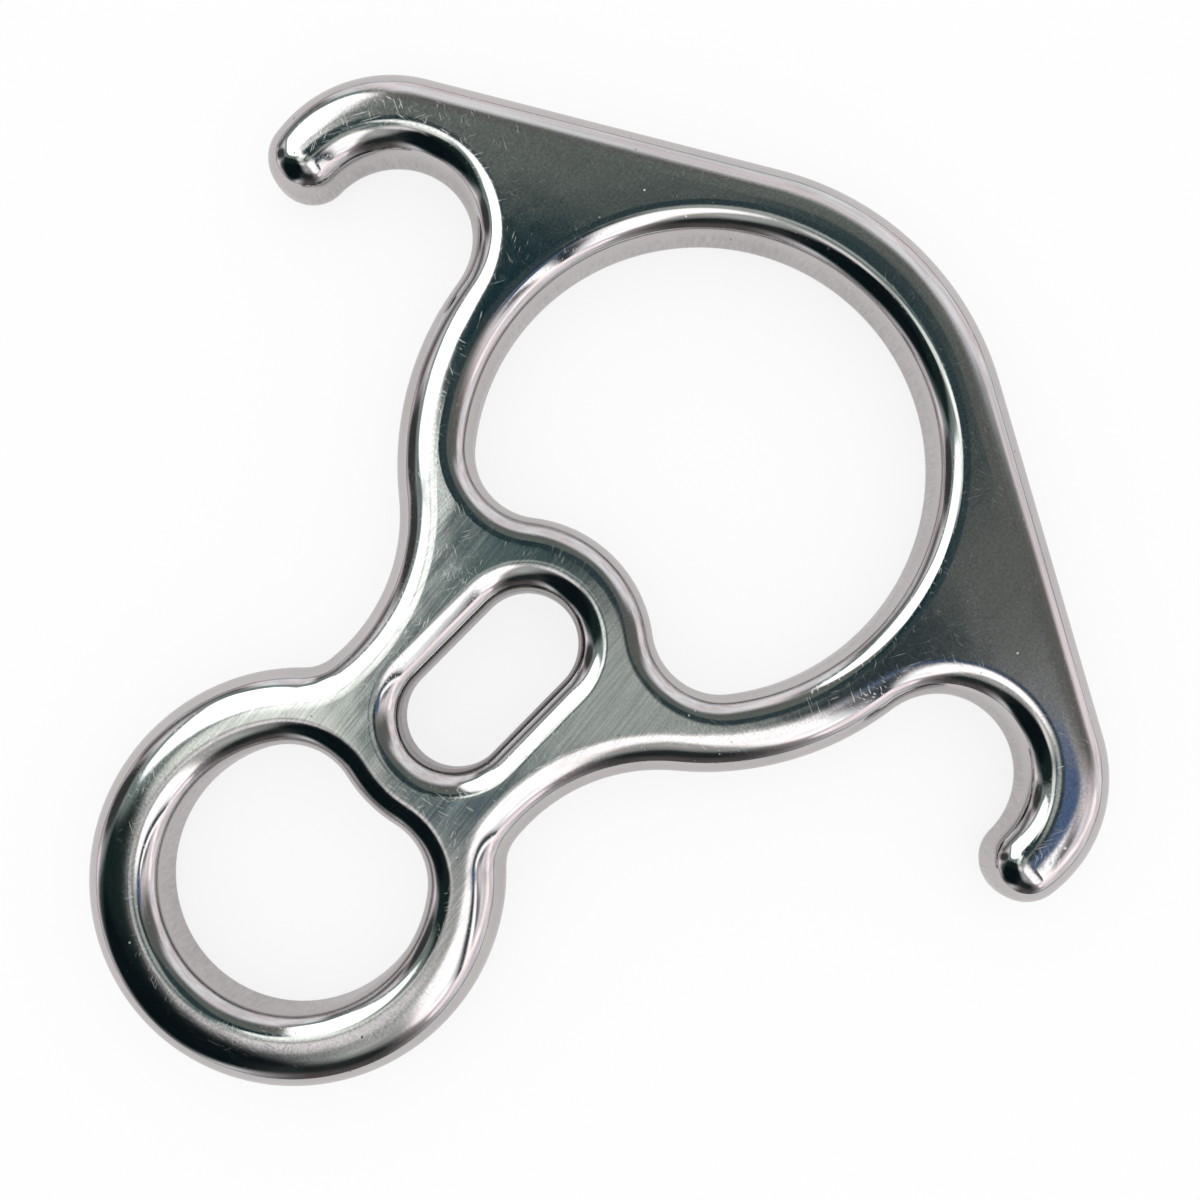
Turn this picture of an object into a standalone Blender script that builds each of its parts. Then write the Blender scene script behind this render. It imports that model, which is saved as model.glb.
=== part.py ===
# Rescue figure eight descender with ears: one solid piece of stainless steel.
# It lies flat on its back: X across the ears, Y from the small eye to the large ring, Z up through the plate.
# The plan outline is a belt of arcs, each touching the next. Every rim is then rolled over on its own rounded
# section, nearly a full round outside and tighter in the rope holes, and flat faces close what is left.
import bpy
import bmesh
import math
from mathutils import Vector

MM = 0.001

THICKNESS = 14.0 * MM

# Large ring: the rope bight passes up through it
RING_HOLE_R = 38.1 * MM
RING_BAND = 13.0 * MM
RING_SIDE_RISE = 0.7 * MM
CROWN_BAND = 13.6 * MM
CROWN_RISE = 1.0 * MM

# Saddle that bulges into the large ring from the neck, and the round corner each side of it
SADDLE_DEPTH = 17.1 * MM
SADDLE_R = 22.4 * MM
RING_CORNER_R = 11.5 * MM

# Ears: straight flank from the crown, round shoulder, round tip, and the hook that stops the rope riding up
FLANK_SLOPE = math.radians(30.0)
SHOULDER_R = 23.8 * MM
TIP_R = 6.7 * MM
HOOK_R = 13.1 * MM
HOOK_DROP = math.radians(8.5)
TIP_DROP = math.radians(1.5)

# Neck, with the slot down its middle
NECK_LENGTH = 56.8 * MM
WAIST_WIDTH = 42.2 * MM
WAIST_SHARE = 0.66
NOTCH_R = 7.2 * MM
SLOT_WIDTH = 17.2 * MM
SADDLE_BAND = 11.8 * MM
BUMP_BAND = 11.2 * MM

# Small eye: the carabiner hole, with the end of the neck bulging into it
EYE_HOLE_R = 21.5 * MM
EYE_BAND = 12.4 * MM
EYE_CORNER_R = 11.4 * MM
EYE_BUMP_DEPTH = 4.9 * MM
EYE_BUMP_R = 24.2 * MM

# How far each rim rolls in over the face, as a share of the metal it rounds, how far down from the face, as a
# share of half the thickness, and how full its section is: 2 is an ellipse, more is flatter on top and side
RING_ROLL_SHARE = (0.55, 0.95, 2.4)
EYE_ROLL_SHARE = (0.60, 0.95, 2.5)
TIP_ROLL_SHARE = (0.92, 0.88, 2.2)
HOOK_ROLL_SHARE = (0.45, 0.92, 2.25)
WAIST_ROLL_SHARE = (0.54, 0.92, 2.3)
HOLE_ROLL_SHARE = (0.40, 0.80, 2.25)
SLOT_ROLL_SHARE = (0.44, 0.54, 1.9)
EYE_HOLE_ROLL_SHARE = (0.365, 0.54, 2.0)
ROLL_BLEND = 7.0 * MM

# Facets
ROLL_STEPS = 5
CHORD = 5.4 * MM
MIN_TURN = math.radians(7.0)
MAX_TURN = math.radians(14.0)

# Places that follow from the sizes, measured from the centre of the large ring
HALF = THICKNESS / 2.0
RING_SIDE_R = RING_HOLE_R + RING_BAND
CROWN_R = RING_HOLE_R + CROWN_BAND - CROWN_RISE
CROWN_TOP = CROWN_R + CROWN_RISE
SADDLE_TOP = SADDLE_DEPTH - RING_HOLE_R
BUMP_LOW = SADDLE_TOP - NECK_LENGTH
EYE_Y = BUMP_LOW + EYE_BUMP_DEPTH - EYE_HOLE_R
EYE_R = EYE_HOLE_R + EYE_BAND
CENTRE_Y = (CROWN_TOP + EYE_Y - EYE_R) / 2.0


def roll(kind, metal):
    """Reach of a rolled rim over the face, its depth down from the face, and the fullness of its section."""
    return Vector((kind[0] * metal, kind[1] * HALF, kind[2]))


def toward(centre, radius, target):
    """Point of a circle on the side of the target."""
    return centre + (target - centre).normalized() * radius


def meet(c0, r0, c1, r1):
    """The two points at r0 from c0 and r1 from c1."""
    gap = c1 - c0
    along = (r0 * r0 - r1 * r1 + gap.length_squared) / (2.0 * gap.length)
    aside = math.sqrt(max(r0 * r0 - along * along, 0.0))
    axis = gap.normalized()
    side = axis.orthogonal()
    foot = c0 + axis * along
    return foot + side * aside, foot - side * aside


def at_angle(centre, radius, drop):
    """Point out to the right of a centre and a little below it."""
    return centre + Vector((math.cos(drop), -math.sin(drop))) * radius


def arc(centre, radius, start, end, turn, rim):
    """Points of an arc from start up to, but not with, end. Turn is +1 anticlockwise and -1 clockwise.
    Each point is (place, outward direction, rim). A clockwise arc bounds metal on its inside."""
    a0 = math.atan2(start.y - centre.y, start.x - centre.x)
    a1 = math.atan2(end.y - centre.y, end.x - centre.x)
    sweep = (a1 - a0) * turn % (2.0 * math.pi)
    step = min(max(CHORD / radius, MIN_TURN), MAX_TURN)
    count = max(2, round(sweep / step))
    points = []
    for i in range(count):
        angle = a0 + turn * sweep * i / count
        ray = Vector((math.cos(angle), math.sin(angle)))
        points.append((centre + ray * radius, ray * -turn, rim))
    return points


def straight(start, end, rim, pieces):
    """Points of a straight run, clockwise round the metal, without its last point."""
    run = end - start
    out = Vector((-run.y, run.x)).normalized()
    return [(start + run * (i / pieces), out, rim) for i in range(pieces)]


def mirrored(half):
    """Close a right half, which starts and ends on the middle line, with its mirror image."""
    left = [(Vector((-place.x, place.y)), Vector((-out.x, out.y)), rim) for place, out, rim in half[1:-1]]
    return half + left[::-1]


def blended(loop):
    """Let the rim change gently from one stretch of the loop to the next."""
    count = len(loop)
    result = []
    for i, (place, out, rim) in enumerate(loop):
        total = rim.copy()
        weight = 1.0
        for way in (1, -1):
            far = 0.0
            for j in range(1, count):
                near = loop[(i + way * (j - 1)) % count]
                here = loop[(i + way * j) % count]
                far += (here[0] - near[0]).length
                if far >= ROLL_BLEND:
                    break
                total += here[2] * (1.0 - far / ROLL_BLEND)
                weight += 1.0 - far / ROLL_BLEND
        result.append((place, out, total / weight))
    return result


def outer_edge():
    """Outer edge, clockwise from the middle of the crown."""
    crown = Vector((0.0, CROWN_RISE))
    side = Vector((0.0, RING_SIDE_RISE))
    eye = Vector((0.0, EYE_Y))
    flank_out = Vector((math.sin(FLANK_SLOPE), math.cos(FLANK_SLOPE)))
    flank_run = Vector((math.cos(FLANK_SLOPE), -math.sin(FLANK_SLOPE)))
    flank_top = crown + flank_out * CROWN_R

    # The hook touches the side of the ring and the round tip of the ear
    hook = at_angle(side, RING_SIDE_R + HOOK_R, HOOK_DROP)
    tip = at_angle(hook, HOOK_R + TIP_R, TIP_DROP)

    # The shoulder touches the flank and holds the tip circle inside it
    base = flank_top - flank_out * SHOULDER_R
    off = base - tip
    back = off.dot(flank_run)
    reach = (SHOULDER_R - TIP_R) ** 2
    shoulder = base - flank_run * (back + math.sqrt(max(back * back - off.length_squared + reach, 0.0)))
    flank_end = shoulder + flank_out * SHOULDER_R
    tip_start = toward(shoulder, SHOULDER_R, tip)
    tip_end = toward(tip, TIP_R, hook)
    hook_end = toward(hook, HOOK_R, side)

    # The waist hollow touches the side of the ring, and a small notch joins it to the eye
    half_waist = WAIST_WIDTH / 2.0
    waist_y = EYE_Y * WAIST_SHARE
    fall = side.y - waist_y
    waist_r = (half_waist ** 2 + fall ** 2 - RING_SIDE_R ** 2) / (2.0 * (RING_SIDE_R - half_waist))
    waist = Vector((half_waist + waist_r, waist_y))
    side_end = toward(side, RING_SIDE_R, waist)
    notch = min(meet(waist, waist_r - NOTCH_R, eye, EYE_R + NOTCH_R), key=lambda place: place.x)
    notch_start = notch + (notch - waist).normalized() * NOTCH_R
    notch_end = toward(notch, NOTCH_R, eye)

    ring_rim = roll(RING_ROLL_SHARE, RING_BAND)
    eye_rim = roll(EYE_ROLL_SHARE, EYE_BAND)
    tip_rim = roll(TIP_ROLL_SHARE, TIP_R)
    hook_rim = roll(HOOK_ROLL_SHARE, HOOK_R)
    waist_rim = roll(WAIST_ROLL_SHARE, half_waist - SLOT_WIDTH / 2.0)
    half = arc(crown, CROWN_R, Vector((0.0, CROWN_TOP)), flank_top, -1, ring_rim)
    half += straight(flank_top, flank_end, ring_rim, 5)
    half += arc(shoulder, SHOULDER_R, flank_end, tip_start, -1, ring_rim)
    half += arc(tip, TIP_R, tip_start, tip_end, -1, tip_rim)
    half += arc(hook, HOOK_R, tip_end, hook_end, 1, hook_rim)
    half += arc(side, RING_SIDE_R, hook_end, side_end, -1, ring_rim)
    half += arc(waist, waist_r, side_end, notch_start, 1, waist_rim)
    half += arc(notch, NOTCH_R, notch_start, notch_end, 1, waist_rim)
    low = Vector((0.0, EYE_Y - EYE_R))
    half += arc(eye, EYE_R, notch_end, low, -1, eye_rim)
    half.append((low, Vector((0.0, -1.0)), eye_rim))
    return blended(mirrored(half))


def bulged_hole(centre_y, radius, corner_r, depth, bulge_r, up, rim):
    """Round hole with the neck's end bulging into it. Up is +1 where the far side is above the bulge."""
    centre = Vector((0.0, centre_y))
    crest = Vector((0.0, centre_y - up * (radius - depth)))
    bulge = Vector((0.0, crest.y - up * bulge_r))
    corner = max(meet(centre, radius - corner_r, bulge, bulge_r + corner_r), key=lambda place: place.x)
    corner_start = toward(centre, radius, centre + (corner - centre) * 9.0)
    corner_end = toward(corner, corner_r, bulge)
    far = Vector((0.0, centre_y + up * radius))
    half = arc(centre, radius, far, corner_start, -up, rim)
    half += arc(corner, corner_r, corner_start, corner_end, -up, rim)
    half += arc(bulge, bulge_r, corner_end, crest, up, rim)
    half.append((crest, Vector((0.0, -1.0)), rim))
    return mirrored([(place, out * -up, size) for place, out, size in half])


def slot_hole():
    """Straight slot down the neck with half-round ends."""
    radius = SLOT_WIDTH / 2.0
    right = Vector((radius, 0.0))
    top = Vector((0.0, SADDLE_TOP - SADDLE_BAND))
    low = Vector((0.0, BUMP_LOW + BUMP_BAND))
    upper = top - Vector((0.0, radius))
    lower = low + Vector((0.0, radius))
    rim = roll(SLOT_ROLL_SHARE, min(WAIST_WIDTH / 2.0 - radius, SADDLE_BAND, BUMP_BAND))
    half = arc(upper, radius, top, upper + right, -1, rim)
    half += straight(upper + right, lower + right, rim, 4)
    half += arc(lower, radius, lower + right, low, -1, rim)
    half.append((low, Vector((0.0, -1.0)), rim))
    return mirrored([(place, -out, size) for place, out, size in half])


def rolled_rim(mesh, loop):
    """Loft one rim: the loop moved in and up along a rounded section, and bridged level by level."""
    angles = [math.pi / 2.0 * i / ROLL_STEPS for i in range(ROLL_STEPS + 1)]
    levels = [(angle, -1) for angle in reversed(angles)] + [(angle, 1) for angle in angles]
    rings = []
    for angle, face in levels:
        ring = []
        for place, out, rim in loop:
            inward = 1.0 - max(math.cos(angle), 0.0) ** (2.0 / rim.z)
            drop = 1.0 - math.sin(angle) ** (2.0 / rim.z)
            spot = place - out * (rim.x * inward)
            ring.append(mesh.verts.new((spot.x, spot.y - CENTRE_Y, HALF + face * (HALF - rim.y * drop))))
        rings.append([mesh.edges.new((ring[i - 1], ring[i])) for i in range(len(ring))])
    for below, above in zip(rings, rings[1:]):
        bmesh.ops.bridge_loops(mesh, edges=below + above)
    return rings[0], rings[-1]


def descender():
    """The whole descender as one closed solid."""
    mesh = bmesh.new()
    hole_rim = roll(HOLE_ROLL_SHARE, RING_BAND)
    eye_rim = roll(EYE_HOLE_ROLL_SHARE, EYE_BAND)
    loops = (
        outer_edge(),
        bulged_hole(0.0, RING_HOLE_R, RING_CORNER_R, SADDLE_DEPTH, SADDLE_R, 1, hole_rim),
        bulged_hole(EYE_Y, EYE_HOLE_R, EYE_CORNER_R, EYE_BUMP_DEPTH, EYE_BUMP_R, -1, eye_rim),
        slot_hole(),
    )
    lower = []
    upper = []
    for loop in loops:
        low, high = rolled_rim(mesh, loop)
        lower += low
        upper += high
    for face in (lower, upper):
        bmesh.ops.triangle_fill(mesh, edges=face, use_beauty=True)
    bmesh.ops.recalc_face_normals(mesh, faces=mesh.faces)
    data = bpy.data.meshes.new("descender_body")
    mesh.to_mesh(data)
    mesh.free()
    return bpy.data.objects.new("descender_body", data)


def steel():
    """Polished stainless steel."""
    material = bpy.data.materials.new("polished_stainless")
    material.use_nodes = True
    shader = material.node_tree.nodes["Principled BSDF"]
    shader.inputs["Base Color"].default_value = (0.56, 0.56, 0.54, 1.0)
    shader.inputs["Metallic"].default_value = 1.0
    shader.inputs["Roughness"].default_value = 0.14
    material.diffuse_color = (0.56, 0.56, 0.54, 1.0)
    material.metallic = 1.0
    material.roughness = 0.14
    return material


for thing in list(bpy.data.objects):
    bpy.data.objects.remove(thing, do_unlink=True)

group = bpy.data.collections.new("rescue_figure_eight_descender")
bpy.context.scene.collection.children.link(group)
body = descender()
body.data.materials.append(steel())
group.objects.link(body)
bpy.context.view_layer.objects.active = body
body.select_set(True)
bpy.ops.object.shade_smooth()
body.data.set_sharp_from_angle(angle=math.radians(40.0))
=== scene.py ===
import math

import bmesh
import bpy
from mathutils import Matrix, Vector


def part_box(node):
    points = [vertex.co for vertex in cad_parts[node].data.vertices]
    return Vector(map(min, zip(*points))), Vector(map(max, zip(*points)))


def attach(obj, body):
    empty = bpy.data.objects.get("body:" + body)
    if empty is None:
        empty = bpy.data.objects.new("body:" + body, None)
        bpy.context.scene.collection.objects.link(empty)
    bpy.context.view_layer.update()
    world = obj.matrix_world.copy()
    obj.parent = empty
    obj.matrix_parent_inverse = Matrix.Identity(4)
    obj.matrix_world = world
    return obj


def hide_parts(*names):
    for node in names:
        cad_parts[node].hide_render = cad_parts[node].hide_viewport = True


bl_info = {
    "name": "Rescue Figure Eight Descender",
    "version": (1, 0, 0),
    "blender": (4, 5, 0),
    "location": "View3D > Sidebar > Descender",
    "description": "Polished steel rescue figure eight with ears, and the plain studio it is shown in",
    "category": "Add Mesh",
}

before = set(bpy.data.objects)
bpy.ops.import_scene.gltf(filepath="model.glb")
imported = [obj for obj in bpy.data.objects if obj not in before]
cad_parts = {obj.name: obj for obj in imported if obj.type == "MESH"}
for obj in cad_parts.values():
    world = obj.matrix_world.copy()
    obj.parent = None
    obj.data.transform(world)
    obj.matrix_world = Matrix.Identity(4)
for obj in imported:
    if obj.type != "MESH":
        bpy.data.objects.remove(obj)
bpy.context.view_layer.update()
CAD_LOW, CAD_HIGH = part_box("descender_body")
MM = 0.001
MICRON = 0.001 * MM

# Sizes of the plan, the same as the solid's
THICKNESS = CAD_HIGH.z - CAD_LOW.z
RING_HOLE_R = 38.1 * MM
RING_BAND = 13.0 * MM
RING_SIDE_RISE = 0.7 * MM
CROWN_BAND = 13.6 * MM
CROWN_RISE = 1.0 * MM
SADDLE_DEPTH = 17.1 * MM
SADDLE_R = 22.4 * MM
RING_CORNER_R = 11.5 * MM
FLANK_SLOPE = math.radians(30.0)
SHOULDER_R = 23.8 * MM
TIP_R = 6.7 * MM
HOOK_R = 13.1 * MM
HOOK_DROP = math.radians(8.5)
TIP_DROP = math.radians(1.5)
NECK_LENGTH = 56.8 * MM
WAIST_WIDTH = 42.2 * MM
WAIST_SHARE = 0.66
NOTCH_R = 7.2 * MM
SLOT_WIDTH = 17.2 * MM
SADDLE_BAND = 11.8 * MM
BUMP_BAND = 11.2 * MM
EYE_HOLE_R = 21.5 * MM
EYE_BAND = 12.4 * MM
EYE_CORNER_R = 11.4 * MM
EYE_BUMP_DEPTH = 4.9 * MM
EYE_BUMP_R = 24.2 * MM

# Rolled rims: reach over the face as a share of the stock, depth as a share of half the thickness, fullness
RING_ROLL = (0.55, 0.95, 2.4)
EYE_ROLL = (0.60, 0.95, 2.5)
TIP_ROLL = (0.92, 0.88, 2.2)
HOOK_ROLL = (0.45, 0.92, 2.25)
WAIST_ROLL = (0.54, 0.92, 2.3)
HOLE_ROLL = (0.40, 0.80, 2.25)
SLOT_ROLL = (0.44, 0.54, 1.9)
EYE_HOLE_ROLL = (0.365, 0.54, 2.0)

# How far along an edge one roll fades into the next, the strip of face lofted beside a roll, and the most
# that an arc turns from one facet to the next
ROLL_BLEND = 7.0 * MM
LAND = 0.08 * MM
FACET_TURN = math.radians(3.6)

HALF = THICKNESS / 2.0
RING_SIDE_R = RING_HOLE_R + RING_BAND
CROWN_R = RING_HOLE_R + CROWN_BAND - CROWN_RISE
CROWN_TOP = CROWN_R + CROWN_RISE
SADDLE_TOP = SADDLE_DEPTH - RING_HOLE_R
BUMP_LOW = SADDLE_TOP - NECK_LENGTH
EYE_Y = BUMP_LOW + EYE_BUMP_DEPTH - EYE_HOLE_R
EYE_R = EYE_HOLE_R + EYE_BAND
CENTRE_Y = (CROWN_TOP + EYE_Y - EYE_R) / 2.0


class DescenderShape(bpy.types.PropertyGroup):
    """How finely the steel piece is drawn."""

    chord: bpy.props.FloatProperty(
        name="Facet length", description="Longest facet along a rim", default=1.1 * MM,
        min=0.3 * MM, unit="LENGTH", subtype="DISTANCE")
    roll_steps: bpy.props.IntProperty(
        name="Rim steps", description="Facets across each quarter of a rolled rim", default=20,
        min=4, max=32)


class DescenderSteel(bpy.types.PropertyGroup):
    """Colour and surface of the polished stainless steel."""

    tint: bpy.props.FloatVectorProperty(
        name="Steel", description="Colour of the polished metal", subtype="COLOR", size=3,
        default=(0.63, 0.62, 0.61), min=0.0, max=1.0)
    worn: bpy.props.FloatVectorProperty(
        name="Scratched steel", description="Colour in the hair scratches", subtype="COLOR",
        size=3, default=(0.80, 0.80, 0.78), min=0.0, max=1.0)
    polish: bpy.props.FloatProperty(
        name="Rim roughness", description="Roughness of the rolled rims", default=0.055,
        min=0.0, max=1.0, subtype="FACTOR")
    face: bpy.props.FloatProperty(
        name="Face roughness", description="Roughness of the flat faces", default=0.08,
        min=0.0, max=1.0, subtype="FACTOR")
    brush_angle: bpy.props.FloatProperty(
        name="Brushing angle", default=math.radians(96.0), subtype="ANGLE",
        description="Direction of the brushing on the flats, from across the ears")
    neck_centre: bpy.props.FloatVectorProperty(
        name="Brushed neck", description="Middle of the neck, where the brushing is strongest",
        size=3, subtype="TRANSLATION", default=(0.0, -24.0 * MM, 7.0 * MM))
    # The slot's walls round this middle are painted darker, as painted shade inside the slot
    slot_shade_centre: bpy.props.FloatVectorProperty(
        name="Slot", description="Middle of the slot, whose walls are left duller",
        size=3, subtype="TRANSLATION", default=(0.0, -11.4 * MM, 7.0 * MM))


class DescenderStudio(bpy.types.PropertyGroup):
    """The plain studio round the descender."""

    floor_size: bpy.props.FloatProperty(
        name="Floor size", description="Side of the square floor", default=3.0, unit="LENGTH",
        subtype="DISTANCE")
    floor_colour: bpy.props.FloatVectorProperty(
        name="Floor", description="Colour of the floor", subtype="COLOR", size=3,
        default=(0.93, 0.925, 0.925), min=0.0, max=1.0)
    lens: bpy.props.FloatProperty(
        name="Lens", description="Focal length of the camera in millimetres", default=42.44)
    stand: bpy.props.FloatVectorProperty(
        name="Camera place", description="Where the camera stands", subtype="TRANSLATION", size=3,
        default=(10.9 * MM, 1.5 * MM, 242.0 * MM))
    turn: bpy.props.FloatVectorProperty(
        name="Camera turn", description="How the camera is turned", subtype="EULER", size=3,
        default=(math.radians(2.85), math.radians(-0.28), math.radians(44.58)))


def roll(kind, metal):
    """Rim as a vector: its reach over the face, its depth below it and the fullness of its section."""
    return Vector((kind[0] * metal, kind[1] * HALF, kind[2]))


def toward(centre, radius, target):
    """Point of a circle on the side of the target."""
    return centre + (target - centre).normalized() * radius


def meet(c0, r0, c1, r1):
    """The two points at r0 from c0 and r1 from c1."""
    gap = c1 - c0
    along = (r0 * r0 - r1 * r1 + gap.length_squared) / (2.0 * gap.length)
    aside = math.sqrt(max(r0 * r0 - along * along, 0.0))
    axis = gap.normalized()
    side = axis.orthogonal()
    foot = c0 + axis * along
    return foot + side * aside, foot - side * aside


def at_angle(centre, radius, drop):
    """Point out to the right of a centre and a little below it."""
    return centre + Vector((math.cos(drop), -math.sin(drop))) * radius


def arc(centre, radius, start, end, turn, rim, chord):
    """Points of an arc from start up to, but not with, end: (place, outward direction, rim)."""
    a0 = math.atan2(start.y - centre.y, start.x - centre.x)
    a1 = math.atan2(end.y - centre.y, end.x - centre.x)
    sweep = (a1 - a0) * turn % (2.0 * math.pi)
    count = max(3, round(sweep / min(chord / radius, FACET_TURN)))
    points = []
    for i in range(count):
        angle = a0 + turn * sweep * i / count
        ray = Vector((math.cos(angle), math.sin(angle)))
        points.append((centre + ray * radius, ray * -turn, rim))
    return points


def straight(start, end, rim, chord):
    """Points of a straight run, clockwise round the metal, without its last point."""
    run = end - start
    out = Vector((-run.y, run.x)).normalized()
    pieces = max(2, round(run.length / chord))
    return [(start + run * (i / pieces), out, rim) for i in range(pieces)]


def mirrored(half):
    """Close a right half, which starts and ends on the middle line, with its mirror image."""
    left = [(Vector((-place.x, place.y)), Vector((-out.x, out.y)), rim)
            for place, out, rim in half[1:-1]]
    return half + left[::-1]


def blended(loop):
    """Let the rim change gently from one stretch of the loop to the next."""
    count = len(loop)
    result = []
    for i, (place, out, rim) in enumerate(loop):
        total = rim.copy()
        weight = 1.0
        for way in (1, -1):
            far = 0.0
            for j in range(1, count):
                near = loop[(i + way * (j - 1)) % count]
                here = loop[(i + way * j) % count]
                far += (here[0] - near[0]).length
                if far >= ROLL_BLEND:
                    break
                total += here[2] * (1.0 - far / ROLL_BLEND)
                weight += 1.0 - far / ROLL_BLEND
        result.append((place, out, total / weight))
    return result


def outer_edge(chord):
    """Outer edge, clockwise from the middle of the crown."""
    crown = Vector((0.0, CROWN_RISE))
    side = Vector((0.0, RING_SIDE_RISE))
    eye = Vector((0.0, EYE_Y))
    flank_out = Vector((math.sin(FLANK_SLOPE), math.cos(FLANK_SLOPE)))
    flank_run = Vector((math.cos(FLANK_SLOPE), -math.sin(FLANK_SLOPE)))
    flank_top = crown + flank_out * CROWN_R
    hook = at_angle(side, RING_SIDE_R + HOOK_R, HOOK_DROP)
    tip = at_angle(hook, HOOK_R + TIP_R, TIP_DROP)

    base = flank_top - flank_out * SHOULDER_R
    off = base - tip
    back = off.dot(flank_run)
    reach = (SHOULDER_R - TIP_R) ** 2
    slide = back + math.sqrt(max(back * back - off.length_squared + reach, 0.0))
    shoulder = base - flank_run * slide
    flank_end = shoulder + flank_out * SHOULDER_R
    tip_start = toward(shoulder, SHOULDER_R, tip)
    tip_end = toward(tip, TIP_R, hook)
    hook_end = toward(hook, HOOK_R, side)

    half_waist = WAIST_WIDTH / 2.0
    waist_y = EYE_Y * WAIST_SHARE
    fall = side.y - waist_y
    excess = half_waist ** 2 + fall ** 2 - RING_SIDE_R ** 2
    waist_r = excess / (2.0 * (RING_SIDE_R - half_waist))
    waist = Vector((half_waist + waist_r, waist_y))
    side_end = toward(side, RING_SIDE_R, waist)
    notch = min(meet(waist, waist_r - NOTCH_R, eye, EYE_R + NOTCH_R), key=lambda place: place.x)
    notch_start = notch + (notch - waist).normalized() * NOTCH_R
    notch_end = toward(notch, NOTCH_R, eye)

    ring_rim = roll(RING_ROLL, RING_BAND)
    eye_rim = roll(EYE_ROLL, EYE_BAND)
    tip_rim = roll(TIP_ROLL, TIP_R)
    hook_rim = roll(HOOK_ROLL, HOOK_R)
    waist_rim = roll(WAIST_ROLL, half_waist - SLOT_WIDTH / 2.0)
    half = arc(crown, CROWN_R, Vector((0.0, CROWN_TOP)), flank_top, -1, ring_rim, chord)
    half += straight(flank_top, flank_end, ring_rim, chord)
    half += arc(shoulder, SHOULDER_R, flank_end, tip_start, -1, ring_rim, chord)
    half += arc(tip, TIP_R, tip_start, tip_end, -1, tip_rim, chord)
    half += arc(hook, HOOK_R, tip_end, hook_end, 1, hook_rim, chord)
    half += arc(side, RING_SIDE_R, hook_end, side_end, -1, ring_rim, chord)
    half += arc(waist, waist_r, side_end, notch_start, 1, waist_rim, chord)
    half += arc(notch, NOTCH_R, notch_start, notch_end, 1, waist_rim, chord)
    low = Vector((0.0, EYE_Y - EYE_R))
    half += arc(eye, EYE_R, notch_end, low, -1, eye_rim, chord)
    half.append((low, Vector((0.0, -1.0)), eye_rim))
    return blended(mirrored(half))


def bulged_hole(centre_y, radius, corner_r, depth, bulge_r, up, rim, chord):
    """Round hole with the neck's end bulging into it; up is 1 where its far side is above the bulge."""
    centre = Vector((0.0, centre_y))
    crest = Vector((0.0, centre_y - up * (radius - depth)))
    bulge = Vector((0.0, crest.y - up * bulge_r))
    corners = meet(centre, radius - corner_r, bulge, bulge_r + corner_r)
    corner = max(corners, key=lambda place: place.x)
    corner_start = toward(centre, radius, corner)
    corner_end = toward(corner, corner_r, bulge)
    far = Vector((0.0, centre_y + up * radius))
    half = arc(centre, radius, far, corner_start, -up, rim, chord)
    half += arc(corner, corner_r, corner_start, corner_end, -up, rim, chord)
    half += arc(bulge, bulge_r, corner_end, crest, up, rim, chord)
    half.append((crest, Vector((0.0, -1.0)), rim))
    return mirrored([(place, out * -up, size) for place, out, size in half])


def slot_hole(rim, chord):
    """Straight slot down the neck with half-round ends."""
    radius = SLOT_WIDTH / 2.0
    right = Vector((radius, 0.0))
    top = Vector((0.0, SADDLE_TOP - SADDLE_BAND))
    low = Vector((0.0, BUMP_LOW + BUMP_BAND))
    upper = top - Vector((0.0, radius))
    lower = low + Vector((0.0, radius))
    half = arc(upper, radius, top, upper + right, -1, rim, chord)
    half += straight(upper + right, lower + right, rim, chord)
    half += arc(lower, radius, lower + right, low, -1, rim, chord)
    half.append((low, Vector((0.0, -1.0)), rim))
    return mirrored([(place, -out, size) for place, out, size in half])


def rolled_rim(mesh, loop, steps):
    """Loft one rim: the loop moved in and up along a rounded section, bridged level by level."""
    angles = [math.pi / 2.0 * i / steps for i in range(steps + 1)]
    levels = [(angle, 0.0) for angle in angles] + [(angles[-1], LAND)]
    levels = [(*level, -1) for level in reversed(levels)] + [(*level, 1) for level in levels]
    rings = []
    for angle, land, face in levels:
        ring = []
        for place, out, rim in loop:
            inward = 1.0 - max(math.cos(angle), 0.0) ** (2.0 / rim.z)
            drop = 1.0 - math.sin(angle) ** (2.0 / rim.z)
            spot = place - out * (rim.x * inward + land)
            level = HALF + face * (HALF - rim.y * drop)
            ring.append(mesh.verts.new((spot.x, spot.y - CENTRE_Y, level)))
        rings.append(ring)
    count = len(loop)
    for below, above in zip(rings, rings[1:]):
        for i in range(count):
            mesh.faces.new((below[i - 1], below[i], above[i], above[i - 1]))
    ends = []
    for ring in (rings[0], rings[-1]):
        ends.append([mesh.edges.get((ring[i - 1], ring[i])) for i in range(count)])
    return ends


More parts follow.
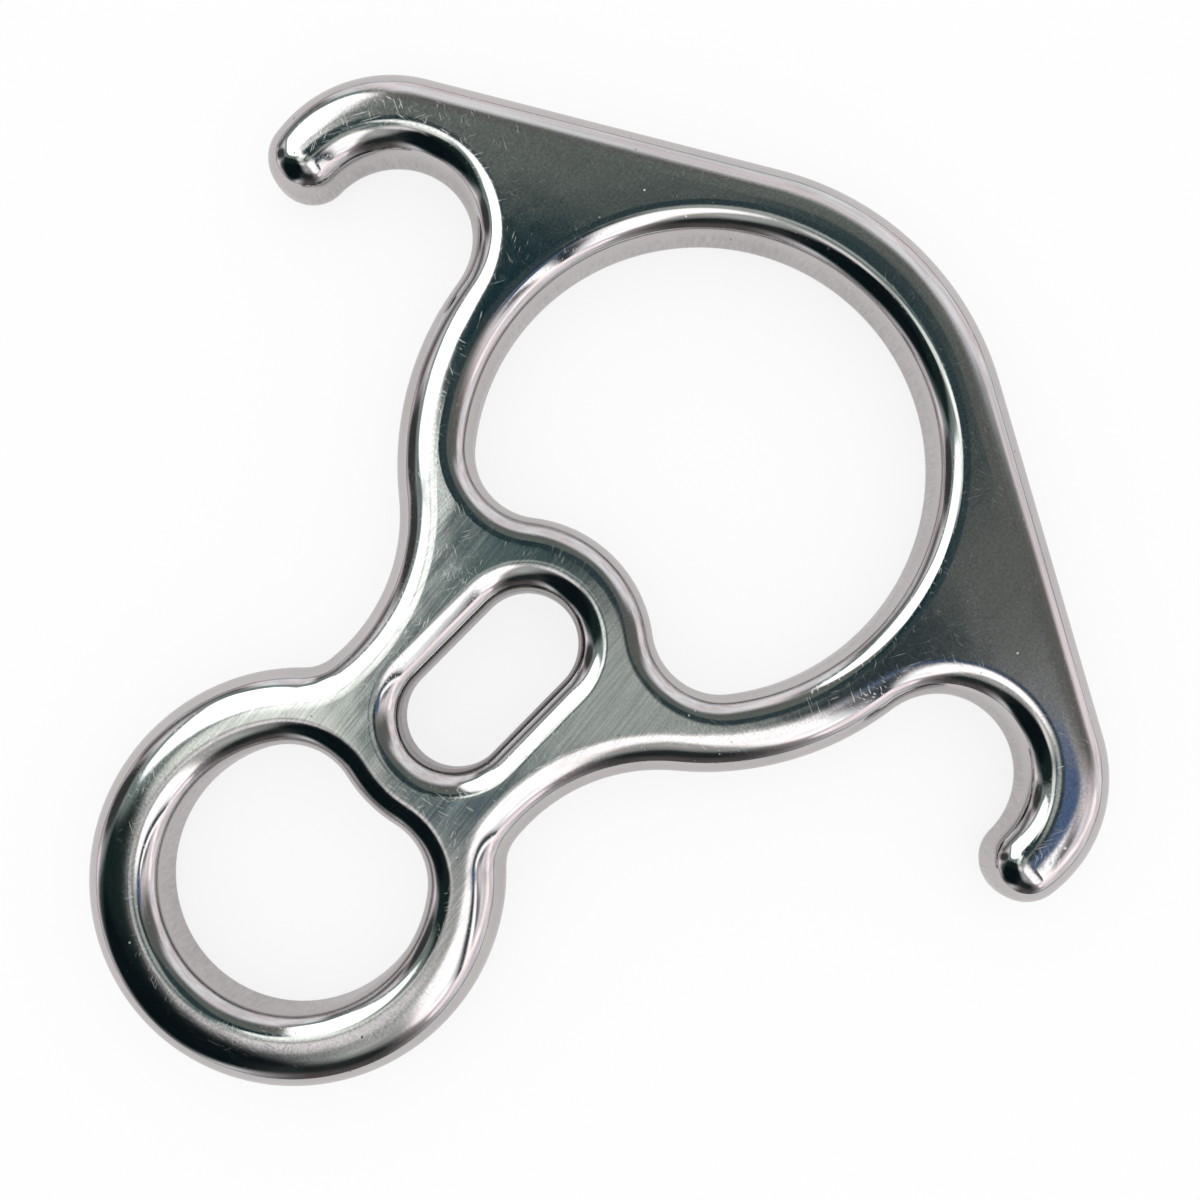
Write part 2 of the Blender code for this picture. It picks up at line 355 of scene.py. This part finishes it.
def steel_mesh(chord, steps):
    """The whole descender as one smooth closed skin."""
    mesh = bmesh.new()
    hole_rim = roll(HOLE_ROLL, RING_BAND)
    side_band = (WAIST_WIDTH - SLOT_WIDTH) / 2.0
    slot_rim = roll(SLOT_ROLL, min(side_band, SADDLE_BAND, BUMP_BAND))
    eye_rim = roll(EYE_HOLE_ROLL, EYE_BAND)
    loops = (
        outer_edge(chord),
        bulged_hole(0.0, RING_HOLE_R, RING_CORNER_R, SADDLE_DEPTH, SADDLE_R, 1, hole_rim, chord),
        bulged_hole(EYE_Y, EYE_HOLE_R, EYE_CORNER_R, EYE_BUMP_DEPTH, EYE_BUMP_R, -1, eye_rim,
                    chord),
        slot_hole(slot_rim, chord),
    )
    lower = []
    upper = []
    for loop in loops:
        low, high = rolled_rim(mesh, loop, steps)
        lower += low
        upper += high
    for face in (lower, upper):
        bmesh.ops.triangle_fill(mesh, edges=face, use_beauty=True)
    bmesh.ops.recalc_face_normals(mesh, faces=mesh.faces)
    # The finer ear tips would reach a hair past the solid's box
    trim = min(1.0, CAD_HIGH.x / max(vert.co.x for vert in mesh.verts))
    for vert in mesh.verts:
        vert.co.x *= trim
    for face in mesh.faces:
        face.smooth = True
    data = bpy.data.meshes.new("descender_steel")
    mesh.to_mesh(data)
    mesh.free()
    return data


class Graph:
    """Small helper that adds and joins shader nodes."""

    def __init__(self, tree):
        self.tree = tree

    def add(self, kind, **values):
        node = self.tree.nodes.new(kind)
        for name, value in values.items():
            setattr(node, name, value)
        return node

    def feed(self, value, socket):
        """Join an output to a socket, or set the socket's own value."""
        if isinstance(value, bpy.types.NodeSocket):
            self.tree.links.new(value, socket)
        elif value is not None:
            socket.default_value = value

    def math(self, operation, a, b=None, c=None):
        node = self.add("ShaderNodeMath", operation=operation)
        for value, socket in zip((a, b, c), node.inputs):
            self.feed(value, socket)
        return node.outputs[0]

    def vector(self, operation, a, b=None, output=0, scale=None):
        node = self.add("ShaderNodeVectorMath", operation=operation)
        for value, socket in zip((a, b), node.inputs):
            self.feed(value, socket)
        self.feed(scale, node.inputs[3])
        return node.outputs[output]

    def ramp(self, value, low, high, to_low=0.0, to_high=1.0):
        """Smooth step of a value from low to high."""
        node = self.add("ShaderNodeMapRange", interpolation_type="SMOOTHSTEP")
        for item, socket in zip((value, low, high, to_low, to_high), node.inputs):
            self.feed(item, socket)
        return node.outputs[0]

    def mix(self, share, a, b):
        """Colour a turning into colour b."""
        node = self.add("ShaderNodeMix", data_type="RGBA")
        for item, socket in ((share, node.inputs[0]), (a, node.inputs[6]), (b, node.inputs[7])):
            self.feed(item, socket)
        return node.outputs[2]

    def noise(self, place, scale, detail=3.0, rough=0.5, distortion=0.0):
        node = self.add("ShaderNodeTexNoise")
        self.feed(place, node.inputs["Vector"])
        node.inputs["Scale"].default_value = scale
        node.inputs["Detail"].default_value = detail
        node.inputs["Roughness"].default_value = rough
        node.inputs["Distortion"].default_value = distortion
        return node.outputs["Fac"]

    def parts(self, vector):
        """The three numbers of a vector."""
        node = self.add("ShaderNodeSeparateXYZ")
        self.feed(vector, node.inputs[0])
        return node.outputs

    def whole(self, *numbers):
        """A vector of two or three numbers."""
        node = self.add("ShaderNodeCombineXYZ")
        for number, socket in zip(numbers, node.inputs):
            self.feed(number, socket)
        return node.outputs[0]

    def turned(self, vector, angle):
        """A vector as seen from axes that are turned in the plan."""
        node = self.add("ShaderNodeVectorRotate", rotation_type="Z_AXIS", invert=True)
        self.feed(vector, node.inputs["Vector"])
        self.feed(angle, node.inputs["Angle"])
        return self.parts(node.outputs[0])

    def rays(self):
        """Shares of the camera's own rays, and of those that come by a mirror or glass."""
        path = self.add("ShaderNodeLightPath")
        mirror = self.math("MAXIMUM", path.outputs["Is Glossy Ray"], path.outputs["Is Transmission Ray"])
        return path.outputs["Is Camera Ray"], mirror

    def spread(self, value, width):
        """Noise from 0 to 1, moved to lie evenly about 0."""
        return self.math("MULTIPLY_ADD", value, width, -width / 2.0)

    def layered(self, start, amounts, masks):
        """A value with each named mask added to it by its amount."""
        for name, amount in amounts.items():
            start = self.math("MULTIPLY_ADD", masks[name], amount, start)
        return start

    def group(self, tree, **values):
        node = self.add("ShaderNodeGroup", node_tree=tree)
        for name, value in values.items():
            self.feed(value, node.inputs[name.replace("_", " ")])
        return node


def new_group(name, inputs, outputs):
    """Empty shader node group with named sockets."""
    tree = bpy.data.node_groups.new(name, "ShaderNodeTree")
    for label, kind, value in inputs:
        socket = tree.interface.new_socket(label, in_out="INPUT", socket_type=kind)
        if value is not None:
            socket.default_value = value
    for label, kind in outputs:
        tree.interface.new_socket(label, in_out="OUTPUT", socket_type=kind)
    graph = Graph(tree)
    return tree, graph, graph.add("NodeGroupInput"), graph.add("NodeGroupOutput")


def streaks(g, place, angle, along, across, detail):
    """Noise drawn out along a direction of the plan."""
    parts = g.turned(place, angle)
    drawn = [g.math("MULTIPLY", part, scale) for part, scale in zip(parts, (along, across, across))]
    return g.noise(g.whole(*drawn), 1.0, detail, rough=0.6)


BAND_FINENESS = 0.24
BAND_STRETCH = 0.4


def brushing_group():
    """Long fine parallel marks of a belt, with slower bands between them, both about -1 to 1."""
    tree, g, given, out = new_group(
        "belt brushing",
        (("Place", "NodeSocketVector", None), ("Angle", "NodeSocketFloat", 0.0),
         ("Length", "NodeSocketFloat", 10.0), ("Fineness", "NodeSocketFloat", 4000.0)),
        (("Line", "NodeSocketFloat"), ("Band", "NodeSocketFloat")))
    place, angle, fineness = (given.outputs[name] for name in ("Place", "Angle", "Fineness"))
    along = g.math("DIVIDE", fineness, given.outputs["Length"])
    fine = streaks(g, place, angle, along, fineness, detail=3.0)
    slow = g.math("MULTIPLY", fineness, BAND_FINENESS)
    band = streaks(g, place, angle, g.math("MULTIPLY", along, BAND_STRETCH), slow, detail=2.0)
    g.feed(g.spread(fine, 4.0), out.inputs["Line"])
    g.feed(g.spread(band, 4.0), out.inputs["Band"])
    return tree


SCRATCHES = (
    # direction in degrees, length, scale of the patches that carry them
    (15.0, 13.0, 70.0),
    (62.0, 17.0, 95.0),
    (118.0, 11.0, 120.0),
    (152.0, 15.0, 85.0),
)
SCRATCH_CUT = (0.655, 0.76)
SCRATCH_PATCH = (0.44, 0.62)


def scratch_group():
    """Sparse hair scratches in several directions, as a mask."""
    tree, g, given, out = new_group(
        "hair scratches",
        (("Place", "NodeSocketVector", None), ("Fineness", "NodeSocketFloat", 3000.0)),
        (("Scratch", "NodeSocketFloat"),))
    place, fineness = given.outputs["Place"], given.outputs["Fineness"]
    total = 0.0
    for angle, length, where in SCRATCHES:
        along = g.math("DIVIDE", fineness, length)
        line = streaks(g, place, math.radians(angle), along, fineness, detail=1.0)
        patch = g.ramp(g.noise(place, where, detail=2.0), *SCRATCH_PATCH)
        total = g.math("MAXIMUM", total, g.math("MULTIPLY", g.ramp(line, *SCRATCH_CUT), patch))
    g.feed(total, out.inputs["Scratch"])
    return tree


SPECK_SMALLEST = 0.05
SPECK_MORE = 0.09
SPECK_PATCH = (0.42, 0.60)


def speck_group():
    """Small round pits and grains here and there, as a mask."""
    tree, g, given, out = new_group(
        "small specks",
        (("Place", "NodeSocketVector", None), ("Scale", "NodeSocketFloat", 420.0),
         ("Share", "NodeSocketFloat", 0.2)),
        (("Speck", "NodeSocketFloat"),))
    cells = g.add("ShaderNodeTexVoronoi", feature="F1")
    g.feed(given.outputs["Place"], cells.inputs["Vector"])
    g.feed(given.outputs["Scale"], cells.inputs["Scale"])
    tone = g.add("ShaderNodeSeparateColor")
    g.feed(cells.outputs["Color"], tone.inputs[0])
    size = g.math("MULTIPLY_ADD", tone.outputs[1], SPECK_MORE, SPECK_SMALLEST)
    dot = g.ramp(g.math("DIVIDE", cells.outputs["Distance"], size), 0.5, 1.0, 1.0, 0.0)
    some = g.math("LESS_THAN", tone.outputs[0], given.outputs["Share"])
    where = g.ramp(g.noise(given.outputs["Place"], 38.0, detail=2.0), *SPECK_PATCH)
    g.feed(g.math("MULTIPLY", g.math("MULTIPLY", dot, some), where), out.inputs["Speck"])
    return tree


# Where each kind of surface begins and is full, by how level it lies: 1 is flat, 0 is upright
CURVED_TO_FLAT = (0.90, 0.999)
FACE = (0.970, 0.998)
WALL = (0.45, 0.05)
# Painted shade on the slot's walls comes in at the first level and is full at the second
SLOT_SHADE_LEVEL = (0.70, 0.15)

# How far from its middle the brushed neck, or the painted shade on the slot's walls, ends and is full
NECK_REACH = (48.0 * MM, 28.0 * MM)
SLOT_SHADE_REACH = (20.0 * MM, 18.0 * MM)

# What each kind of mark adds to the steel's brightness, to its roughness, and to its height in microns
# painted slot shade darkens the steel of the slot's walls as painted shade
BRIGHTNESS = {"line": 0.26, "band": 0.15, "mottle": 1.0, "ground": 0.30, "cloud": -0.08, "painted slot shade": -0.38}
ROUGHNESS = {"cloud": 0.03, "wall": 0.05, "band": 0.03, "scratch": 0.16, "grain": 0.45}
HEIGHT = {"line": 0.5, "face mottle": 0.4, "ground": 5.0, "scratch": -3.0, "pit": -16.0, "grain": 12.0}

# Strength of the brushing away from the neck, and of the mottle's tone on the faces, the neck and the rims
BELT_AWAY = 0.22
MOTTLE_FACE = 0.20
MOTTLE_NECK = 0.08
MOTTLE_RIM = 0.03

# Slow waves in microns: on the flats they come on top of those on the rims
WAVE_FACE = 60.0
WAVE_RIM = 18.0

SCRATCH_SHARE = 0.34
PIT_SHARE = 0.8
PIT_COLOUR = (0.10, 0.10, 0.10, 1.0)
GRAIN_COLOUR = (0.92, 0.91, 0.90, 1.0)


def steel_masks(g, place, level, look):
    """Where each kind of mark lies on the steel, and how strongly."""
    face = g.ramp(level, *FACE)
    wall = g.ramp(level, *WALL)
    near_neck = g.vector("LENGTH", g.vector("SUBTRACT", place, look.neck_centre), output=1)
    neck = g.ramp(near_neck, *NECK_REACH)
    near_slot = g.vector("LENGTH", g.vector("SUBTRACT", place, look.slot_shade_centre), output=1)
    belt = g.math("MULTIPLY", face, g.math("MULTIPLY_ADD", neck, 1.0 - BELT_AWAY, BELT_AWAY))
    brushed = g.group(brushing_group(), Place=place, Angle=look.brush_angle, Length=24.0, Fineness=2700.0)
    mottle = g.spread(g.noise(place, 2300.0, detail=3.0, rough=0.65), 4.0)
    mottled = g.math("MULTIPLY", face, g.math("MULTIPLY_ADD", neck, MOTTLE_NECK - MOTTLE_FACE, MOTTLE_FACE))
    upright = g.vector("MULTIPLY", place, (1700.0, 1700.0, 260.0))
    elsewhere = g.vector("ADD", place, (0.7, 0.3, 0.1))
    return {
        "face": face,
        "wall": wall,
        # Painted shade: the walls near the slot's middle are darkened, as shade inside the narrow slot
        "painted slot shade": g.math("MULTIPLY", g.ramp(near_slot, *SLOT_SHADE_REACH), g.ramp(level, *SLOT_SHADE_LEVEL)),
        "line": g.math("MULTIPLY", brushed.outputs["Line"], belt),
        "band": g.math("MULTIPLY", brushed.outputs["Band"], belt),
        "mottle": g.math("MULTIPLY", mottle, g.math("ADD", mottled, MOTTLE_RIM)),
        "face mottle": g.math("MULTIPLY", mottle, face),
        "ground": g.math("MULTIPLY", g.spread(g.noise(upright, 1.0, detail=3.0, rough=0.6), 2.0), wall),
        "cloud": g.ramp(g.noise(place, 42.0, detail=4.0, rough=0.55, distortion=0.6), 0.42, 0.72),
        "scratch": g.group(scratch_group(), Place=place, Fineness=4200.0).outputs[0],
        "pit": g.group(speck_group(), Place=place, Scale=430.0, Share=0.16).outputs[0],
        "grain": g.group(speck_group(), Place=elsewhere, Scale=520.0, Share=0.14).outputs[0],
    }


def steel_colour(g, masks, look):
    """Steel toned by its marks and darkened on the slot's walls by painted shade, with paler scratches,
    dark pits and bright grains.
    """
    tone = g.add("ShaderNodeCombineColor")
    brightness = g.layered(1.0, BRIGHTNESS, masks)
    for socket in tone.inputs[:3]:
        g.feed(brightness, socket)
    steel = g.add("ShaderNodeMix", data_type="RGBA", blend_type="MULTIPLY")
    steel.inputs[0].default_value = 1.0
    steel.inputs[6].default_value = (*look.tint, 1.0)
    g.feed(tone.outputs[0], steel.inputs[7])
    colour = g.mix(g.math("MULTIPLY", masks["scratch"], SCRATCH_SHARE), steel.outputs[2], (*look.worn, 1.0))
    colour = g.mix(g.math("MULTIPLY", masks["pit"], PIT_SHARE), colour, PIT_COLOUR)
    return g.mix(masks["grain"], colour, GRAIN_COLOUR)


def steel_height(g, masks, place, level):
    """Height of the surface in microns: slow waves, and the marks on top of them."""
    depth = g.math("MULTIPLY_ADD", g.ramp(level, *CURVED_TO_FLAT), WAVE_FACE, WAVE_RIM)
    wave = g.math("MULTIPLY", g.spread(g.noise(place, 70.0, detail=2.0), 1.0), depth)
    return g.layered(wave, HEIGHT, masks)


def steel_material(look):
    """Mirror polished rims, softly brushed flats, ground walls, hair scratches and small specks."""
    material = bpy.data.materials.new("polished_stainless_steel")
    material.use_nodes = True
    tree = material.node_tree
    shader = tree.nodes["Principled BSDF"]
    g = Graph(tree)
    place = g.add("ShaderNodeTexCoord").outputs["Object"]
    normal = g.add("ShaderNodeNewGeometry").outputs["Normal"]
    level = g.math("ABSOLUTE", g.parts(normal)[2])
    masks = steel_masks(g, place, level, look)

    g.feed(steel_colour(g, masks, look), shader.inputs["Base Color"])
    shader.inputs["Metallic"].default_value = 1.0
    rough = g.math("MULTIPLY_ADD", masks["face"], look.face - look.polish, look.polish)
    g.feed(g.layered(rough, ROUGHNESS, masks), shader.inputs["Roughness"])
    bump = g.add("ShaderNodeBump")
    bump.inputs["Strength"].default_value = 1.0
    bump.inputs["Distance"].default_value = MICRON
    g.feed(steel_height(g, masks, place, level), bump.inputs["Height"])
    g.feed(bump.outputs[0], shader.inputs["Normal"])
    return material


def panel_group():
    """A soft-edged rectangular panel on the dome of the studio, placed in degrees from overhead."""
    tree, g, given, out = new_group(
        "studio panel",
        (("Across", "NodeSocketFloat", 0.0), ("Along", "NodeSocketFloat", 0.0),
         ("Centre Across", "NodeSocketFloat", 0.0), ("Centre Along", "NodeSocketFloat", 0.0),
         ("Turn", "NodeSocketFloat", 0.0), ("Half Width", "NodeSocketFloat", 10.0),
         ("Half Height", "NodeSocketFloat", 10.0), ("Corner", "NodeSocketFloat", 3.0),
         ("Softness", "NodeSocketFloat", 3.0)),
        (("Panel", "NodeSocketFloat"),))
    dx = g.math("SUBTRACT", given.outputs["Across"], given.outputs["Centre Across"])
    dy = g.math("SUBTRACT", given.outputs["Along"], given.outputs["Centre Along"])
    over = []
    for part, half in zip(g.turned(g.whole(dx, dy), given.outputs["Turn"]), ("Half Width", "Half Height")):
        core = g.math("SUBTRACT", given.outputs[half], given.outputs["Corner"])
        over.append(g.math("SUBTRACT", g.math("ABSOLUTE", part), core))
    outside = [g.math("MAXIMUM", value, 0.0) for value in over]
    squares = g.math("MULTIPLY_ADD", outside[0], outside[0], g.math("MULTIPLY", outside[1], outside[1]))
    inside = g.math("MINIMUM", g.math("MAXIMUM", *over), 0.0)
    edge = g.math("SUBTRACT", g.math("ADD", g.math("SQRT", squares), inside), given.outputs["Corner"])
    soft = g.math("DIVIDE", edge, given.outputs["Softness"])
    g.feed(g.ramp(soft, -1.0, 1.0, 1.0, 0.0), out.inputs["Panel"])
    return tree


# What the steel mirrors, from the back layer to the front. Across runs to the camera's right and along runs
# ahead of it, both in degrees from overhead.
PANELS = (
    # name, across, along, turn, half width, half height, corner, softness, colour
    ("low_wall", 4.0, -79.0, -8.0, 32.0, 32.0, 20.0, 20.0, (0.10, 0.088, 0.088)),
    ("left_wall_low", -63.0, 13.0, -4.0, 17.0, 14.0, 13.0, 6.0, (0.055, 0.062, 0.060)),
    ("left_wall_high", -53.0, 48.0, -43.0, 8.0, 26.0, 6.0, 6.0, (0.18, 0.165, 0.17)),
    ("ceiling", 4.0, 23.0, -26.0, 26.0, 20.0, 14.0, 8.0, (0.160, 0.183, 0.168)),
    ("right_shade", 32.0, 8.5, -4.0, 25.0, 13.0, 12.0, 8.0, (0.150, 0.162, 0.152)),
    ("warm_shade", 27.0, -18.0, -26.0, 12.0, 8.0, 8.0, 4.0, (0.22, 0.185, 0.20)),
    ("side_haze", 1.5, -27.0, 6.0, 12.0, 30.0, 10.0, 4.0, (0.50, 0.52, 0.50)),
    ("bright_far", 47.0, -34.0, -30.0, 5.5, 28.0, 5.0, 2.0, (1.50, 1.42, 1.46)),
    ("bright_side", 14.7, -28.0, -56.0, 22.4, 7.5, 7.5, 2.6, (1.80, 1.76, 1.78)),
    ("bright_edge", 30.5, -21.8, -52.0, 18.0, 2.6, 2.2, 1.5, (1.80, 1.76, 1.77)),
    ("dark_arm", 24.0, -20.0, -55.0, 22.0, 2.2, 2.0, 2.0, (0.025, 0.045, 0.058)),
    ("blue_shade", 18.6, -6.2, -10.0, 5.2, 3.6, 3.4, 2.0, (0.090, 0.155, 0.29)),
    ("dark_haze", -41.0, -32.0, 12.0, 31.0, 35.0, 20.0, 8.0, (0.06, 0.09, 0.085)),
    ("dark_corner", -37.5, -33.0, 12.0, 27.0, 30.0, 25.0, 6.0, (0.005, 0.010, 0.013)),
    ("dark_left", -37.0, -5.0, -7.0, 18.0, 8.0, 8.0, 5.0, (0.012, 0.026, 0.024)),
    ("dark_foot", -1.0, -55.0, -20.0, 20.0, 12.0, 12.0, 8.0, (0.025, 0.030, 0.030)),
    ("window_haze", -28.6, 30.0, -4.0, 17.5, 29.0, 10.0, 4.0, (0.24, 0.31, 0.28)),
    ("window", -25.7, 28.0, 0.0, 14.4, 22.0, 9.0, 1.6, (2.20, 2.26, 2.26)),
    ("window_lobe", -10.8, 5.6, 60.0, 6.6, 4.0, 3.8, 1.6, (1.60, 1.68, 1.62)),
    ("left_glow", -14.3, -1.6, 5.0, 4.9, 3.6, 3.4, 2.4, (1.05, 1.13, 1.05)),
    ("low_glow", -10.2, -14.0, -36.0, 5.4, 4.0, 3.8, 2.6, (1.05, 1.00, 1.02)),
    ("overhead", 3.2, 10.4, 8.0, 12.2, 7.5, 6.0, 2.2, (0.040, 0.068, 0.077)),
    ("near_left", -8.4, 14.8, 12.0, 2.4, 4.4, 2.3, 1.2, (0.020, 0.050, 0.060)),
    ("near_top", -4.2, 14.6, 20.0, 4.6, 3.4, 3.2, 1.8, (0.010, 0.038, 0.048)),
    ("window_tip", -7.0, 7.2, 60.0, 3.2, 1.9, 1.7, 1.0, (1.60, 1.68, 1.62)),
    ("near_corner", -3.5, 7.1, 0.0, 2.7, 3.7, 2.0, 0.8, (0.018, 0.048, 0.056)),
    ("near_right", 10.4, -0.8, -20.0, 4.8, 4.7, 4.0, 1.8, (0.038, 0.055, 0.062)),
    ("neck_glow", 0.1, -1.9, -5.0, 6.9, 4.1, 3.6, 2.2, (0.46, 0.51, 0.48)),
    ("neck_dim", -5.8, 1.0, 62.0, 5.4, 2.3, 2.2, 1.6, (0.12, 0.18, 0.18)),
    ("low_dim", -4.3, -5.5, -6.0, 3.7, 1.7, 1.6, 1.5, (0.080, 0.140, 0.165)),
)


# Colours of the open room, of the band where it meets the floor, and of its warm and cool parts
ROOM = (0.97, 0.925, 0.95, 1.0)
SKIRTING = (0.14, 0.115, 0.12, 1.0)
WARM = (1.06, 0.98, 0.99, 1.0)
COOL = (0.94, 1.01, 1.03, 1.0)
WHITE = (1.0, 1.0, 1.0, 1.0)
MATT_LIGHT = (0.96, 0.96, 0.96, 1.0)

# Degrees from overhead where the skirting comes in and goes out, and where the room's clutter comes in
SKIRTING_IN = (80.0, 85.0)
SKIRTING_OUT = (90.0, 87.0)
SKIRTING_SHARE = 0.55
CLUTTER_IN = (18.0, 40.0)
CLUTTER_STEP = 0.20

# Keeps the division by a ray's level part from failing straight overhead
TINY = 0.0001


def overhead_degrees(g, ray, camera):
    """How far a ray leans from overhead, in all and across and along the camera's view, in degrees."""
    right = camera.matrix_world.to_3x3() @ Vector((1.0, 0.0, 0.0))
    right.z = 0.0
    right.normalize()
    ahead = Vector((0.0, 0.0, 1.0)).cross(right)
    height = g.vector("DOT_PRODUCT", ray, (0.0, 0.0, 1.0), 1)
    lean = g.math("MULTIPLY", g.math("ARCCOSINE", height), math.degrees(1.0))
    level = g.math("SQRT", g.math("SUBTRACT", 1.0, g.math("MULTIPLY", height, height)))
    stretch = g.math("DIVIDE", lean, g.math("MAXIMUM", level, TINY))
    across = g.math("MULTIPLY", g.vector("DOT_PRODUCT", ray, tuple(right), 1), stretch)
    along = g.math("MULTIPLY", g.vector("DOT_PRODUCT", ray, tuple(ahead), 1), stretch)
    return lean, across, along


def room_colour(g, ray, lean, across, along):
    """The room that the steel mirrors: its panels, the skirting, and some clutter away from overhead."""
    colour = ROOM
    tool = panel_group()
    for name, x, y, turn, width, tall, corner, soft, shade in PANELS:
        panel = g.group(tool, Across=across, Along=along, Centre_Across=x, Centre_Along=y,
                        Turn=math.radians(turn), Half_Width=width, Half_Height=tall, Corner=corner,
                        Softness=soft)
        panel.label = name
        colour = g.mix(panel.outputs[0], colour, (*shade, 1.0))
    skirting = g.math("MULTIPLY", g.ramp(lean, *SKIRTING_IN), g.ramp(lean, *SKIRTING_OUT))
    colour = g.mix(g.math("MULTIPLY", skirting, SKIRTING_SHARE), colour, SKIRTING)
    away = g.ramp(lean, *CLUTTER_IN)
    blots = g.noise(ray, 6.0, detail=3.0, rough=0.6, distortion=0.4)
    patches = g.ramp(blots, 0.30, 0.70, -CLUTTER_STEP, CLUTTER_STEP)
    clutter = g.math("ADD", g.math("MULTIPLY", patches, away), 1.0)
    tint = g.mix(g.ramp(g.noise(ray, 3.0, detail=2.0), 0.35, 0.65), WARM, COOL)
    tint = g.mix(away, WHITE, tint)
    return g.vector("MULTIPLY", g.vector("SCALE", colour, scale=clutter), tint)


def studio_world(camera):
    """White to the eye, an even dome for matt things, and a room of soft panels for the steel."""
    world = bpy.data.worlds.new("plain studio")
    bpy.context.scene.world = world
    world.use_nodes = True
    world.cycles.sampling_method = "NONE"
    tree = world.node_tree
    tree.nodes.clear()
    g = Graph(tree)
    ray = g.add("ShaderNodeTexCoord").outputs["Generated"]
    room = room_colour(g, ray, *overhead_degrees(g, ray, camera))
    seen, mirror = g.rays()
    shade = g.mix(seen, g.mix(mirror, MATT_LIGHT, room), WHITE)
    back = g.add("ShaderNodeBackground")
    g.feed(shade, back.inputs["Color"])
    out = g.add("ShaderNodeOutputWorld")
    g.feed(back.outputs[0], out.inputs["Surface"])


# How far below the piece the floor lies
FLOOR_GAP = 0.1 * MM

# The floor's own light for the camera and for the steel, and its share: the rest keeps the faint shadow
FLOOR_SEEN = (1.02, 1.02, 1.02, 1.0)
FLOOR_SEEN_SHARE = 0.80
FLOOR_MIRRORED = (0.72, 0.66, 0.68, 1.0)
FLOOR_MIRRORED_SHARE = 0.45


def floor_material(colour):
    """White floor that keeps a faint shadow, and mirrors in the steel as pale warm grey paper."""
    material = bpy.data.materials.new("white_floor")
    material.use_nodes = True
    tree = material.node_tree
    tree.nodes.clear()
    g = Graph(tree)
    matt = g.add("ShaderNodeBsdfDiffuse")
    matt.inputs["Color"].default_value = (*colour, 1.0)
    seen, mirror = g.rays()
    glow = g.add("ShaderNodeEmission")
    g.feed(g.mix(mirror, FLOOR_SEEN, FLOOR_MIRRORED), glow.inputs["Color"])
    share = g.math("MULTIPLY_ADD", mirror, FLOOR_MIRRORED_SHARE, g.math("MULTIPLY", seen, FLOOR_SEEN_SHARE))
    blend = g.add("ShaderNodeMixShader")
    g.feed(share, blend.inputs[0])
    g.feed(matt.outputs[0], blend.inputs[1])
    g.feed(glow.outputs[0], blend.inputs[2])
    out = g.add("ShaderNodeOutputMaterial")
    g.feed(blend.outputs[0], out.inputs["Surface"])
    return material


class DESCENDER_OT_steel(bpy.types.Operator):
    """Build the smooth steel descender over its solid"""

    bl_idname = "descender.steel"
    bl_label = "Steel descender"

    def execute(self, context):
        shape = context.scene.descender_shape
        look = context.scene.descender_steel
        data = steel_mesh(shape.chord, shape.roll_steps)
        data.materials.append(steel_material(look))
        piece = bpy.data.objects.new("descender_steel", data)
        context.scene.collection.objects.link(piece)
        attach(piece, "root")
        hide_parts("descender_body")
        return {"FINISHED"}


class DESCENDER_OT_studio(bpy.types.Operator):
    """Set up the floor, the camera and the light"""

    bl_idname = "descender.studio"
    bl_label = "Plain studio"

    def execute(self, context):
        studio = context.scene.descender_studio
        scene = context.scene
        half = studio.floor_size / 2.0
        mesh = bmesh.new()
        bmesh.ops.create_grid(mesh, x_segments=1, y_segments=1, size=half)
        data = bpy.data.meshes.new("floor")
        mesh.to_mesh(data)
        mesh.free()
        data.materials.append(floor_material(studio.floor_colour))
        floor = bpy.data.objects.new("floor", data)
        floor.location.z = CAD_LOW.z - FLOOR_GAP
        scene.collection.objects.link(floor)

        lens = bpy.data.cameras.new("camera")
        lens.sensor_width = 36.0
        lens.lens = studio.lens
        lens.clip_start = 0.01
        camera = bpy.data.objects.new("camera", lens)
        camera.location = studio.stand
        camera.rotation_euler = studio.turn
        scene.collection.objects.link(camera)
        scene.camera = camera
        context.view_layer.update()
        studio_world(camera)
        scene.view_settings.view_transform = "Standard"
        return {"FINISHED"}


class DESCENDER_PT_panel(bpy.types.Panel):
    """Pieces and sizes of the descender"""

    bl_idname = "DESCENDER_PT_panel"
    bl_label = "Rescue Figure Eight Descender"
    bl_space_type = "VIEW_3D"
    bl_region_type = "UI"
    bl_category = "Descender"

    def draw(self, context):
        layout = self.layout
        scene = context.scene
        for title, group, operator in (
            ("Steel", scene.descender_shape, "descender.steel"),
            ("Finish", scene.descender_steel, None),
            ("Studio", scene.descender_studio, "descender.studio"),
        ):
            box = layout.box()
            box.label(text=title)
            for name in group.bl_rna.properties.keys():
                if name not in ("rna_type", "name"):
                    box.prop(group, name)
            if operator:
                box.operator(operator)


CLASSES = (
    DescenderShape,
    DescenderSteel,
    DescenderStudio,
    DESCENDER_OT_steel,
    DESCENDER_OT_studio,
    DESCENDER_PT_panel,
)


def register():
    for item in CLASSES:
        bpy.utils.register_class(item)
    bpy.types.Scene.descender_shape = bpy.props.PointerProperty(type=DescenderShape)
    bpy.types.Scene.descender_steel = bpy.props.PointerProperty(type=DescenderSteel)
    bpy.types.Scene.descender_studio = bpy.props.PointerProperty(type=DescenderStudio)


def unregister():
    del bpy.types.Scene.descender_studio
    del bpy.types.Scene.descender_steel
    del bpy.types.Scene.descender_shape
    for item in reversed(CLASSES):
        bpy.utils.unregister_class(item)


def main():
    register()
    bpy.ops.descender.steel()
    bpy.ops.descender.studio()


if __name__ == "__main__":
    main()
